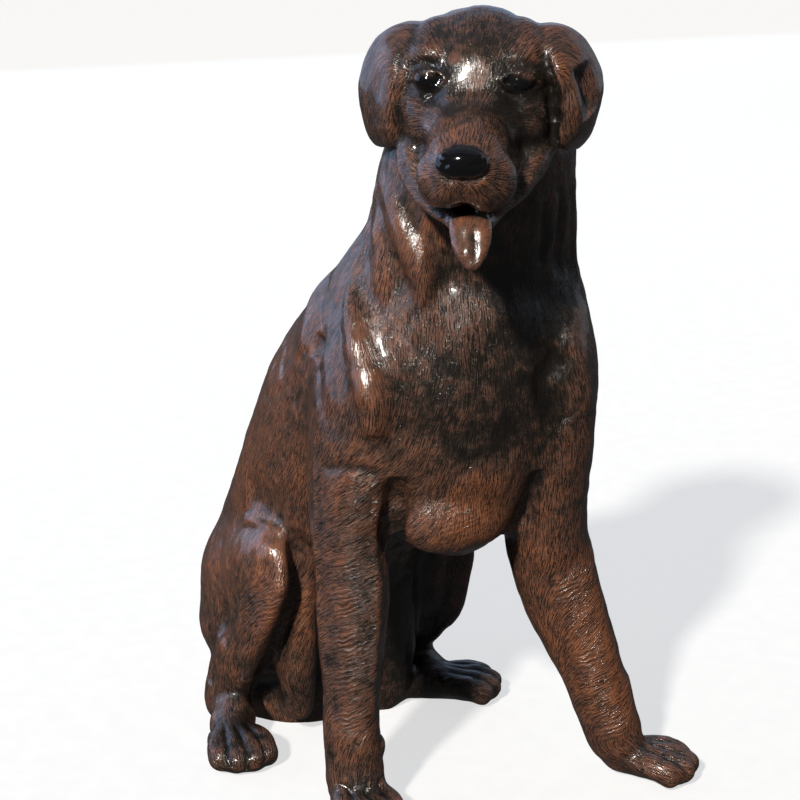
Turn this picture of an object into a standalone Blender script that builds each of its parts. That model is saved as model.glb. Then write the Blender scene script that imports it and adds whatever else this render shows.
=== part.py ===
"""A seated dog cast in aluminium in one piece: the solid of the casting, flat under its paws and rump.

The dog faces -Y with its left side towards +X. The casting is built up the way clay is: smooth lofts and
balls are laid on in stages, and after each stage a Remesh takes one skin over them and a Smooth eases the
joints, broadly for the trunk, less for the limbs, and least for the toes and the face.
"""

import math

import bmesh
import bpy
import numpy as np
from mathutils import Euler, Matrix, Vector

# Driving dimension: ground to the crown of the head, in metres.
STATUE_HEIGHT = 0.80

# The pose is drawn in millimetres on a dog this tall, and every form keeps its share of the height.
DRAWN_HEIGHT = 800.0
MM = STATUE_HEIGHT / DRAWN_HEIGHT

# How finely the lofts and balls are drawn before the skin is taken over them.
RING_SIDES = 28
STEPS_PER_SPAN = 5
CAP_STEPS = 4
BALL_SEGMENTS = 24

# The skin is thinned out to about this many triangles.
TRIANGLES = 9700

# How far the ground cutter reaches past the dog, in millimetres.
CUTTER_MARGIN = 20

# The head is drawn about the middle of the skull, looking along -Y, then turned and set on the neck.
HEAD_CENTRE = (0, -208, 728)
HEAD_TURN_DEG = (10, 0, -37)

# The chest and shoulders are drawn about their own middle and turned a little to the dog's right.
CHEST_CENTRE = (8, -147, 0)
CHEST_TURN_DEG = (0, 0, -17)

TRUNK = [
    # x, y, z, half width, half depth
    (0, 140, 24, 102, 92),
    (0, 140, 104, 112, 100),
    (-1, 104, 200, 112, 110),
    (-3, 48, 290, 112, 116),
    (-2, -10, 372, 112, 118),
    (6, -68, 448, 111, 106),
    (18, -106, 518, 104, 86),
]

# Drawn in the chest's own frame.
BREAST = [
    (0, -2, 286, 62, 46),
    (2, -12, 340, 86, 64),
    (2, -18, 420, 104, 72),
    (6, -8, 500, 96, 74),
]
SHOULDERS = (
    [(-60, 18, 500, 46, 62), (-80, 6, 440, 52, 72), (-92, 0, 370, 48, 64), (-101, -6, 310, 40, 52),
     (-103, -12, 250, 36, 42)],
    [(84, 20, 522, 52, 60), (96, 8, 450, 54, 72), (100, 2, 380, 46, 66), (100, 4, 310, 43, 54),
     (104, 4, 255, 40, 46)],
)

NECK = [
    (24, -104, 480, 116, 94),
    (40, -126, 545, 111, 90),
    (36, -144, 610, 102, 86),
    (35, -160, 668, 94, 80),
]


def spline(rows, per_span):
    """Rows eased through the given ones: a Catmull-Rom curve in every column at once."""
    rows = np.array(rows, float)
    ends = np.vstack([2 * rows[0] - rows[1], rows, 2 * rows[-1] - rows[-2]])
    t = np.linspace(0, 1, per_span, endpoint=False)[:, None]
    spans = []
    for a, b, c, d in zip(ends, ends[1:], ends[2:], ends[3:]):
        cubic = (3 * b - a - 3 * c + d) * t**3 + (2 * a - 5 * b + 4 * c - d) * t**2
        spans.append(0.5 * (cubic + (c - a) * t + 2 * b))
    return np.vstack(spans + [rows[-1:]])


def add_loft(bm, rows, side=(1, 0, 0), place=Matrix()):
    """A closed loft of ellipses along a smooth path, with rounded ends."""
    path = spline(rows, STEPS_PER_SPAN)
    centre, half = path[:, :3], path[:, 3:5]
    along = np.gradient(centre, axis=0)
    along /= np.linalg.norm(along, axis=1)[:, None]
    depth = np.cross(along, np.array(side, float))
    depth /= np.linalg.norm(depth, axis=1)[:, None]
    across = np.cross(depth, along)

    rise = np.linspace(0, math.pi / 2, CAP_STEPS + 1)[1:-1]
    rings = []
    for angle in rise[::-1]:
        bulge = half[0].min() * math.sin(angle)
        rings.append((centre[0] - along[0] * bulge, half[0] * math.cos(angle), across[0], depth[0]))
    rings += list(zip(centre, half, across, depth))
    for angle in rise:
        bulge = half[-1].min() * math.sin(angle)
        rings.append((centre[-1] + along[-1] * bulge, half[-1] * math.cos(angle), across[-1], depth[-1]))
    tips = (centre[0] - along[0] * half[0].min(), centre[-1] + along[-1] * half[-1].min())

    turn = np.linspace(0, 2 * math.pi, RING_SIDES, endpoint=False)[:, None]
    verts = []
    for c, (a, b), u, v in rings:
        ring = c + a * np.cos(turn) * u + b * np.sin(turn) * v
        verts.append([bm.verts.new(place @ Vector(p) * MM) for p in ring])
    for low, high in zip(verts, verts[1:]):
        for i in range(RING_SIDES):
            j = (i + 1) % RING_SIDES
            bm.faces.new((low[i], low[j], high[j], high[i]))
    for tip, ring, flip in ((tips[0], verts[0], True), (tips[1], verts[-1], False)):
        pole = bm.verts.new(place @ Vector(tip) * MM)
        for i in range(RING_SIDES):
            j = (i + 1) % RING_SIDES
            bm.faces.new((ring[j], ring[i], pole) if flip else (ring[i], ring[j], pole))


def add_ball(bm, centre, radii, turn_deg=(0, 0, 0), place=Matrix()):
    """An ellipsoid."""
    turn = Euler([math.radians(a) for a in turn_deg]).to_matrix().to_4x4()
    form = Matrix.Translation(Vector(centre)) @ turn @ Matrix.Diagonal((*radii, 1))
    size = Matrix.Scale(MM, 4)
    bmesh.ops.create_uvsphere(
        bm, u_segments=BALL_SEGMENTS, v_segments=BALL_SEGMENTS // 2, radius=1, matrix=size @ place @ form
    )


def frame(centre, turn_deg):
    """A frame set at the centre and turned about X, Y and Z in that order."""
    turn = Euler([math.radians(a) for a in turn_deg]).to_matrix().to_4x4()
    return Matrix.Translation(Vector(centre)) @ turn


HEAD = frame(HEAD_CENTRE, HEAD_TURN_DEG)
FORE = frame(CHEST_CENTRE, CHEST_TURN_DEG)


def masses(bm):
    """Trunk, breast, neck, shoulders and haunches."""
    add_loft(bm, TRUNK)
    add_loft(bm, BREAST, place=FORE)
    add_loft(bm, NECK)
    for shoulder in SHOULDERS:
        add_loft(bm, shoulder, place=FORE)
    for side in (-1, 1):
        add_ball(bm, (side * 78, 110, 146), (57, 96, 94))
        thigh = [(side * 84, 92, 158, 50, 82), (side * 96, 52, 188, 44, 66), (side * 104, 24, 214, 34, 48)]
        add_loft(bm, thigh)


def add_paw(bm, heel, turn_deg, long=96, wide=78):
    """A paw flat on the ground, drawn from its heel forwards, with four toes side by side."""
    paw = frame((heel[0], heel[1], 0), (0, 0, turn_deg))
    palm = [(0, 4, 20, 25, 23), (0, -long * 0.3, 17, wide * 0.4, 21), (0, -long * 0.58, 13, wide * 0.44, 17)]
    add_loft(bm, palm, place=paw)
    for share, reach in ((-0.36, 0.84), (-0.13, 0.96), (0.13, 0.96), (0.36, 0.84)):
        x = wide * share
        tip = -long * reach
        toe = [(x * 0.86, tip + 46, 22, 9, 11), (x, tip + 24, 21, 11, 13), (x * 1.08, tip + 9, 13, 11, 13),
               (x * 1.08, tip, 8, 9, 10)]
        add_loft(bm, toe, place=paw)


def limbs(bm):
    """The legs with their paws, the head as far as the jaw, and the tail."""
    # Right foreleg, upright.
    upright = [(-94, -130, 312, 28, 34), (-93, -132, 256, 35, 42), (-94, -134, 200, 34, 38),
               (-97, -136, 120, 28, 30), (-96, -138, 62, 29, 30), (-97, -144, 34, 30, 28)]
    add_loft(bm, upright)
    add_paw(bm, (-95, -118), -6)
    # Left foreleg, set forwards and out.
    set_out = [(104, -164, 306, 32, 36), (112, -168, 258, 42, 45), (129, -176, 195, 41, 42),
               (151, -190, 129, 34, 35), (165, -198, 84, 32, 32), (178, -204, 44, 30, 30)]
    add_loft(bm, set_out)
    add_paw(bm, (178, -194), 40)
    # Hind legs: knees up beside the belly, hocks and feet on the ground, the left foot turned out.
    for side, hock, foot in ((-1, (-119, 108), (-128, 62)), (1, (112, 108), (116, 66))):
        add_ball(bm, (side * 102, 12, 222), (29, 34, 34))
        shank = [(side * 102, 8, 214, 30, 36), (side * 106, 50, 132, 31, 42),
                 (hock[0] - side * 6, 96, 66, 27, 32), (hock[0], hock[1], 32, 25, 26)]
        add_loft(bm, shank)
        add_loft(bm, [(hock[0], hock[1] + 4, 28, 24, 26), (foot[0], foot[1], 26, 26, 24)])
    add_paw(bm, (-128, 66), -11)
    add_paw(bm, (104, 60), 58)
    # Head, looking to the dog's right.
    add_ball(bm, (0, 8, 9), (62, 74, 62), place=HEAD)
    add_ball(bm, (0, -34, 20), (46, 32, 32), place=HEAD)
    for side in (-1, 1):
        add_ball(bm, (side * 32, 4, 14), (36, 60, 47), place=HEAD)
        add_ball(bm, (side * 40, -20, -14), (29, 46, 42), place=HEAD)
        add_ball(bm, (side * 15, -132, -36), (28, 26, 27), place=HEAD)
    muzzle = [(-1, -45, -8, 44, 38), (-1, -85, -16, 35, 35), (0, -122, -24, 33, 32), (0, -140, -27, 31, 28)]
    add_loft(bm, muzzle, place=HEAD)
    jaw = [(0, -18, -50, 58, 30), (0, -48, -60, 55, 23), (1, -80, -71, 42, 16), (2, -108, -79, 29, 12),
           (3, -126, -81, 22, 9)]
    add_loft(bm, jaw, place=HEAD)
    # The tail lies on the ground, curled to the dog's left.
    tail = [(0, 205, 34, 36, 32), (30, 256, 24, 27, 24), (88, 286, 18, 22, 20), (150, 280, 15, 17, 16),
            (196, 246, 12, 12, 12)]
    add_loft(bm, tail, side=(0, 0, 1))


def features(bm):
    """Ears, lips, eyes, nose and tongue."""
    for side, splay, set_out in ((-1, 0.46, 0), (1, 0.26, 4)):
        ear = [(30, 12, 46, 16, 12), (54 + set_out, 8, 45, 32, 16), (77 + set_out, -2, 29, 42, 16),
               (88 + set_out, -6, 0, 45, 16), (88, -8, -26, 44, 16), (82, -10, -44, 40, 14)]
        add_loft(bm, [(side * row[0], *row[1:]) for row in ear], side=(side * splay, 1, 0), place=HEAD)
        flew = [(side * 14, -146, -40, 18, 17), (side * 25, -126, -42, 17, 20), (side * 32, -96, -44, 12, 22),
                (side * 38, -62, -42, 12, 20)]
        add_loft(bm, flew, place=HEAD)
        add_ball(bm, (side * 37 - 4, -48, 22), (14, 12, 10), place=HEAD)
    add_ball(bm, (0, -159, -13), (22, 13, 14), place=HEAD)
    tongue = [(2, -84, -72, 17, 5), (4, -124, -74, 20, 6), (5, -143, -81, 20, 6), (5, -149, -99, 18, 6),
              (5, -148, -114, 11, 5)]
    add_loft(bm, tongue, place=HEAD)


STAGES = (
    # what is laid on, cell of the skin in mm, passes of smoothing
    (masses, 8.0, 22),
    (limbs, 5.0, 7),
    (features, 3.0, 3),
)

# Creases are pressed into the skin along short paths, and ridges are raised where the depth is negative.
FACE_CREASES = [
    # path in the head's frame, reach in mm, depth in mm
    ([(-60, -40, 24), (-52, -54, 31), (-41, -66, 33), (-28, -72, 26)], 4, 3),
    ([(52, -40, 24), (44, -54, 31), (33, -66, 33), (20, -72, 26)], 4, 3),
    ([(-60, -42, 18), (-52, -58, 11), (-41, -68, 9), (-28, -76, 14)], 4, 3),
    ([(52, -42, 18), (44, -58, 11), (33, -68, 9), (20, -76, 14)], 4, 3),
    ([(-60, -44, 38), (-44, -60, 44), (-26, -68, 42)], 8, -3),
    ([(52, -44, 38), (36, -60, 44), (18, -68, 42)], 8, -3),
    ([(-22, -74, 6), (-28, -86, -12), (-31, -96, -24)], 9, 3),
    ([(18, -74, 6), (25, -86, -12), (29, -96, -24)], 9, 3),
    ([(-1, -76, 40), (-1, -64, 56), (-1, -30, 66)], 8, 2),
    ([(0, -168, -24), (0, -166, -46)], 3, 2.5),
    ([(-66, -36, 40), (-66, -44, 10), (-66, -40, -30)], 7, 3.5),
    ([(64, -36, 40), (67, -42, 10), (69, -43, -34)], 7, 3.5),
    ([(102, -20, 36), (106, -24, 12), (104, -22, -14)], 14, 10),
]
BODY_CREASES = [
    # path in the dog's frame, reach in mm, depth in mm
    ([(-93, -134, 507), (-96, -167, 477), (-93, -183, 446), (-92, -190, 405)], 22, -5),
    ([(-62, -110, 590), (-67, -122, 565), (-74, -146, 536), (-77, -166, 508), (-70, -196, 470)], 13, 4),
    ([(-84, -50, 540), (-104, -80, 490), (-119, -118, 445), (-126, -150, 398)], 16, 4),
    ([(80, -230, 480), (60, -234, 451), (70, -236, 420), (84, -232, 400)], 17, 5),
    ([(-74, -196, 380), (-71, -188, 356), (-64, -174, 315), (-58, -158, 283)], 10, 9),
    ([(62, -226, 360), (60, -212, 325), (58, -196, 290)], 12, 6),
    ([(-100, -196, 424), (-60, -226, 412), (-20, -232, 404), (50, -236, 408)], 22, 2.5),
    ([(-92, -14, 262), (-92, -22, 210), (-94, -8, 150), (-100, 20, 100), (-104, 44, 66)], 11, 8),
    ([(92, -14, 262), (92, -22, 210), (94, -8, 150), (100, 20, 100), (104, 44, 66)], 11, 8),
    ([(-122, 44, 252), (-108, 8, 256), (-98, -10, 246)], 10, -4),
    ([(122, 44, 252), (108, 8, 256), (98, -10, 246)], 10, -4),
    ([(-140, 120, 232), (-146, 90, 170), (-146, 78, 110)], 20, 4),
    ([(140, 120, 232), (146, 90, 170), (146, 78, 110)], 20, 4),
    ([(65, -231, 641), (86, -219, 619), (90, -214, 580), (92, -212, 540)], 7, 3.5),
    ([(58, -224, 625), (66, -222, 590), (64, -218, 556)], 7, 3.5),
]


def fuse(mesh, cell_mm, passes):
    """One skin over all the closed forms of the mesh, eased by the passes of smoothing."""
    ob = bpy.data.objects.new("clay", mesh)
    bpy.context.collection.objects.link(ob)
    skin = ob.modifiers.new("Skin", "REMESH")
    skin.mode = "VOXEL"
    skin.voxel_size = cell_mm * MM
    skin.adaptivity = 0
    ease = ob.modifiers.new("Ease", "SMOOTH")
    ease.factor = 0.5
    ease.iterations = passes
    fused = evaluated_mesh(ob)
    bpy.data.objects.remove(ob)
    return fused


def evaluated_mesh(ob):
    depsgraph = bpy.context.evaluated_depsgraph_get()
    return bpy.data.meshes.new_from_object(ob.evaluated_get(depsgraph))


def along_path(points, path):
    """How far each point is from a path of straight pieces, and what share of the path lies before the
    nearest place on it."""
    nearest = np.full(len(points), np.inf)
    travel = np.zeros(len(points))
    lengths = np.linalg.norm(np.diff(path, axis=0), axis=1)
    starts = np.cumsum(lengths) - lengths
    for a, b, start, length in zip(path, path[1:], starts, lengths):
        share = np.clip((points - a) @ (b - a) / length**2, 0, 1)
        distance = np.linalg.norm(points - a - share[:, None] * (b - a), axis=1)
        closer = distance < nearest
        nearest[closer] = distance[closer]
        travel[closer] = start + share[closer] * length
    return nearest, travel / lengths.sum()


def press(mesh, creases, place):
    """Moves the skin in along its normals by depth * exp(-(distance / reach)^2), less near a path's ends."""
    count = len(mesh.vertices)
    points = np.empty(count * 3)
    normals = np.empty(count * 3)
    mesh.vertices.foreach_get("co", points)
    mesh.vertex_normals.foreach_get("vector", normals)
    points = points.reshape(-1, 3) / MM
    normals = normals.reshape(-1, 3)
    sink = np.zeros(count)
    for path, reach, depth in creases:
        path = np.array([place @ Vector(p) for p in path])
        distance, travel = along_path(points, path)
        fade = 1 - (2 * travel - 1) ** 4
        sink += depth * fade * np.exp(-(distance / reach) ** 2)
    points -= normals * sink[:, None]
    mesh.vertices.foreach_set("co", (points * MM).ravel())
    mesh.update()


def model_dog():
    mesh = None
    for lay_on, cell_mm, passes in STAGES:
        bm = bmesh.new()
        if mesh:
            bm.from_mesh(mesh)
        lay_on(bm)
        bmesh.ops.recalc_face_normals(bm, faces=bm.faces)
        mesh = bpy.data.meshes.new("clay")
        bm.to_mesh(mesh)
        bm.free()
        mesh = fuse(mesh, cell_mm, passes)
    press(mesh, FACE_CREASES, HEAD)
    press(mesh, BODY_CREASES, Matrix())
    return mesh


def thin_out(mesh):
    """Fewer triangles, most of them left where the skin bends most."""
    ob = bpy.data.objects.new("clay", mesh)
    bpy.context.collection.objects.link(ob)
    thin = ob.modifiers.new("Thin out", "DECIMATE")
    thin.ratio = TRIANGLES / sum(len(p.vertices) - 2 for p in mesh.polygons)
    thin.use_collapse_triangulate = True
    thinned = evaluated_mesh(ob)
    bpy.data.objects.remove(ob)
    return thinned


def make_material():
    """Brown and black patina under a clear coat."""
    material = bpy.data.materials.new("patinated aluminium")
    material.use_nodes = True
    shader = material.node_tree.nodes["Principled BSDF"]
    shader.inputs["Base Color"].default_value = (0.085, 0.035, 0.018, 1)
    shader.inputs["Roughness"].default_value = 0.4
    shader.inputs["Metallic"].default_value = 0.3
    shader.inputs["Coat Weight"].default_value = 0.8
    return material


def cut_flat(dog, cutters):
    """Takes off everything below the ground, so the dog stands flat."""
    low = Vector([min(v.co[i] for v in dog.data.vertices) for i in range(3)])
    high = Vector([max(v.co[i] for v in dog.data.vertices) for i in range(3)])
    margin = CUTTER_MARGIN * MM
    size = high - low + Vector((margin, margin, 0)) * 2
    depth = margin - low.z
    bpy.ops.mesh.primitive_cube_add(size=1)
    ground = bpy.context.object
    ground.name = "ground"
    ground.scale = (size.x, size.y, depth)
    ground.location = ((low.x + high.x) / 2, (low.y + high.y) / 2, -depth / 2)
    ground.hide_render = True
    ground.display_type = "WIRE"
    bpy.context.collection.objects.unlink(ground)
    cutters.objects.link(ground)
    cut = dog.modifiers.new("Flat underside", "BOOLEAN")
    cut.operation = "DIFFERENCE"
    cut.solver = "EXACT"
    cut.object = ground


def stand_on_origin(mesh):
    """Moves the dog so that the middle of its box above the ground stands on the origin."""
    above = np.array([v.co for v in mesh.vertices if v.co.z > 0])
    middle = (above.min(axis=0) + above.max(axis=0)) / 2
    mesh.transform(Matrix.Translation((-middle[0], -middle[1], 0)))


def main():
    for ob in list(bpy.data.objects):
        bpy.data.objects.remove(ob)
    statue = bpy.data.collections.new("dog statue")
    cutters = bpy.data.collections.new("cutters")
    bpy.context.scene.collection.children.link(statue)
    bpy.context.scene.collection.children.link(cutters)

    mesh = thin_out(model_dog())
    stand_on_origin(mesh)
    mesh.name = "dog"
    mesh.materials.clear()
    mesh.materials.append(make_material())
    dog = bpy.data.objects.new("dog", mesh)
    statue.objects.link(dog)
    cut_flat(dog, cutters)


main()
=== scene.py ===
"""A seated dog in cast aluminium: the skin is modelled like clay, chased with short strokes of fur, and
finished in a brown and black patina under a clear gloss, with shade painted into the patina in places.

The dog is drawn in millimetres in the CAD model's own drawing: hips facing -Y, left side towards +X, the
ground at 0. The head and the chest have frames of their own, because both are turned to the dog's right.
"""

import math

import bpy
import numpy as np
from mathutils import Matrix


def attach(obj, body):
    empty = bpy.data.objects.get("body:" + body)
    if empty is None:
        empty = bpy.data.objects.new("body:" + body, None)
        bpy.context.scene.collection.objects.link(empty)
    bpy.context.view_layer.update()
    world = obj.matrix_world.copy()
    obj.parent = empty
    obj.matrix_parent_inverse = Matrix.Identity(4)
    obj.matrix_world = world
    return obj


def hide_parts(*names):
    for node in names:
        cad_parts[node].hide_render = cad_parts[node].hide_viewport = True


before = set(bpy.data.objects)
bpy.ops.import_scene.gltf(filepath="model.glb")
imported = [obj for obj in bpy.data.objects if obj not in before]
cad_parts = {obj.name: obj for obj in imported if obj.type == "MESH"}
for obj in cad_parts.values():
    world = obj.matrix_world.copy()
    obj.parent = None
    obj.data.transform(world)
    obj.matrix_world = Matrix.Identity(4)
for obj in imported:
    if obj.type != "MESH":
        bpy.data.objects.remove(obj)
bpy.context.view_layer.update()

MM = 0.001

# The middle of the drawing's box, which the CAD model has on its origin.
DRAWN_MIDDLE = (39.05, -20.65)

# Points round a ring of a tube, rings between two given sections, and rings in a rounded end.
RING_POINTS = 36
RINGS_PER_SECTION = 8
END_RINGS = 5

# The finished skin is thinned to fewer than this many triangles.
TRIANGLES = 190000

# Within this reach of the muzzle, in the head's frame, the tufts of the coat are lower by this share.
MUZZLE_MIDDLE = (0, -100, 0)
MUZZLE_REACH = 90
MUZZLE_LOWERED = 0.75

# The middles of the eyes in x, in the head's frame.
EYES_ACROSS = (-41, 39)

# Cells along each side of the lattice that random values repeat over.
LATTICE = 64

# How far in mm each given direction of the coat rules alone.
FLOW_CORE = 15

# Depth in mm of a full hollow, among near neighbours and among far ones.
NARROW_HOLLOW = 0.6
WIDE_HOLLOW = 9


# Frames.


def turn_matrix(degrees):
    """Rotation about X, then Y, then Z."""
    x, y, z = (math.radians(angle) for angle in degrees)
    about_x = np.array([[1, 0, 0], [0, math.cos(x), -math.sin(x)], [0, math.sin(x), math.cos(x)]])
    about_y = np.array([[math.cos(y), 0, math.sin(y)], [0, 1, 0], [-math.sin(y), 0, math.cos(y)]])
    about_z = np.array([[math.cos(z), -math.sin(z), 0], [math.sin(z), math.cos(z), 0], [0, 0, 1]])
    return about_z @ about_y @ about_x


def placed(points, place):
    """Points of a frame, given as its origin and turn, in the dog's drawing."""
    origin, degrees = place
    return np.asarray(points, float) @ turn_matrix(degrees).T + np.array(origin, float)


DOG = ((0, 0, 0), (0, 0, 0))
HEAD = ((0, -208, 728), (10, 0, -37))
CHEST = ((8, -147, 0), (0, 0, -17))


# Forms.


def spline(rows):
    """Catmull-Rom curve through the rows, in every column at once."""
    rows = np.array(rows, float)
    before = 2 * rows[0] - rows[1]
    after = 2 * rows[-1] - rows[-2]
    knots = np.vstack([before, rows, after])
    a, b, c, d = (knots[i:len(knots) - 3 + i, None, :] for i in range(4))
    t = np.linspace(0, 1, RINGS_PER_SECTION, endpoint=False)[None, :, None]
    curve = 0.5 * (
        (3 * b - a - 3 * c + d) * t**3 + (2 * a - 5 * b + 4 * c - d) * t**2 + (c - a) * t + 2 * b
    )
    return np.vstack([curve.reshape(-1, rows.shape[1]), rows[-1:]])


def unit(vectors):
    return vectors / np.linalg.norm(vectors, axis=-1, keepdims=True)


def closed_grid(rings, poles):
    """Faces of a stack of rings, each joined to the next, and a fan of triangles to a pole at either end."""
    count, points = rings.shape[:2]
    ring, step = np.meshgrid(np.arange(count - 1), np.arange(points), indexing="ij")
    after = (step + 1) % points
    low = ring * points
    high = low + points
    quads = np.stack([low + step, low + after, high + after, high + step], axis=-1).reshape(-1, 4)
    step = np.arange(points)
    after = (step + 1) % points
    last = (count - 1) * points
    first_pole = np.full(points, count * points)
    bottom = np.stack([after, step, first_pole], axis=-1)
    top = np.stack([last + step, last + after, first_pole + 1], axis=-1)
    vertices = np.vstack([rings.reshape(-1, 3), poles])
    return vertices, quads.tolist() + bottom.tolist() + top.tolist()


def tube(rows, side=(1, 0, 0), place=DOG):
    """A closed tube of ellipses along the spline through rows of x, y, z, half width and half depth.

    Point (s, a) is c(s) + width(s) cos(a) u(s) + depth(s) sin(a) v(s), with v square to the path and to the
    side, and u square to both. Past each end the ellipse shrinks as the cosine of an angle while its
    centre moves on as the sine.
    """
    path = spline(rows)
    centre = path[:, :3]
    half = path[:, 3:5]
    along = unit(np.gradient(centre, axis=0))
    depth_way = unit(np.cross(along, np.array(side, float)))
    width_way = np.cross(depth_way, along)

    angle = np.linspace(0, math.pi / 2, END_RINGS + 1)[1:-1, None]
    reach = half[[0, -1]].min(axis=1)
    start = centre[0] - along[0] * reach[0] * np.sin(angle[::-1])
    end = centre[-1] + along[-1] * reach[1] * np.sin(angle)
    centre = np.vstack([start, centre, end])
    half = np.vstack([half[0] * np.cos(angle[::-1]), half, half[-1] * np.cos(angle)])
    spare = END_RINGS - 1
    width_way = np.vstack([width_way[[0] * spare], width_way, width_way[[-1] * spare]])
    depth_way = np.vstack([depth_way[[0] * spare], depth_way, depth_way[[-1] * spare]])

    round_ring = np.linspace(0, 2 * math.pi, RING_POINTS, endpoint=False)[None, :, None]
    rings = centre[:, None] + half[:, None, :1] * np.cos(round_ring) * width_way[:, None]
    rings = rings + half[:, None, 1:] * np.sin(round_ring) * depth_way[:, None]
    poles = [path[0, :3] - along[0] * reach[0], path[-1, :3] + along[-1] * reach[1]]
    vertices, faces = closed_grid(rings, poles)
    return placed(vertices, place), faces


def ball(centre, radii, turned=(0, 0, 0), place=DOG):
    """An ellipsoid: point (p, a) is the radii times (sin p cos a, sin p sin a, cos p), turned."""
    polar = np.linspace(math.pi, 0, RING_POINTS // 2 + 1)[1:-1, None, None]
    round_ring = np.linspace(0, 2 * math.pi, RING_POINTS, endpoint=False)[None, :, None]
    across = np.sin(polar) * np.cos(round_ring)
    deep = np.sin(polar) * np.sin(round_ring)
    rings = np.concatenate([across, deep, np.cos(polar) + 0 * round_ring], axis=2)
    vertices, faces = closed_grid(rings, [[0, 0, -1], [0, 0, 1]])
    return placed(placed(vertices * np.array(radii, float), (centre, turned)), place), faces


def both_sides(rows):
    """The rows as given and mirrored in x."""
    rows = np.array(rows, float)
    flip = np.ones(rows.shape[1])
    flip[0] = -1
    return rows * flip, rows


# The dog, in the order in which its clay is laid on.


def masses():
    """Trunk, breast, neck, shoulders and haunches."""
    trunk = [
        (0, 140, 24, 102, 92), (0, 140, 104, 112, 100), (-1, 104, 200, 112, 110), (-3, 48, 290, 112, 116),
        (-2, -10, 372, 112, 118), (6, -68, 448, 111, 106), (18, -106, 518, 104, 86),
    ]
    breast = [(0, -2, 300, 60, 44), (2, -12, 345, 86, 62), (2, -18, 420, 104, 72), (6, -8, 500, 96, 74)]
    neck = [
        (24, -104, 480, 116, 94), (40, -126, 545, 111, 90), (36, -144, 610, 102, 86),
        (35, -160, 668, 94, 80),
    ]
    right_shoulder = [
        (-60, 18, 500, 46, 62), (-80, 6, 440, 52, 72), (-92, 0, 370, 48, 64), (-101, -6, 310, 40, 52),
        (-103, -12, 250, 36, 42),
    ]
    left_shoulder = [
        (84, 20, 522, 52, 60), (96, 8, 450, 54, 72), (100, 2, 380, 46, 66), (100, 4, 310, 43, 54),
        (104, 4, 255, 40, 46),
    ]
    thigh = [(84, 92, 158, 50, 82), (96, 52, 188, 44, 66), (104, 24, 214, 34, 48)]
    forms = [tube(trunk), tube(breast, place=CHEST), tube(neck)]
    forms += [tube(shoulder, place=CHEST) for shoulder in (right_shoulder, left_shoulder)]
    forms += [tube(rows) for rows in both_sides(thigh)]
    for side in (-1, 1):
        forms.append(ball((side * 78, 110, 146), (54, 96, 94)))
        forms.append(ball((side * 88, 118, 102), (48, 80, 47)))
    return forms


PAW_LENGTH = 98
PAW_WIDTH = 72

PAWS = (
    # heel, turned, how far the palm starts behind the heel
    ((-95, -118), -6, -8),
    ((178, -194), 40, -12),
    ((-138, 64), -13, 0),
    ((97, 60), 58, 34),
)

TOES = (
    # place across the paw and reach along it, as shares of its width and length
    (-0.35, 0.86),
    (-0.13, 0.97),
    (0.13, 0.97),
    (0.35, 0.86),
)


def paw(heel, turned, back):
    """A paw flat on the ground, drawn from its heel forwards, with four blunt toes side by side."""
    place = ((*heel, 0), (0, 0, turned))
    palm = [
        (0, back, 22, 22, 22), (0, -30, 20, PAW_WIDTH * 0.33, 20), (0, -56, 16, PAW_WIDTH * 0.39, 17),
        (0, -74, 12, PAW_WIDTH * 0.41, 13),
    ]
    forms = [tube(palm, place=place)]
    for across, reach in TOES:
        x = PAW_WIDTH * across
        tip = -PAW_LENGTH * reach
        toe = [
            (x * 0.84, tip + 50, 23, 10, 12), (x, tip + 28, 23, 11, 13),
            (x * 1.06, tip + 12, 15, 11.5, 14.5),
        ]
        forms.append(tube(toe, place=place))
    return forms


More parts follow.
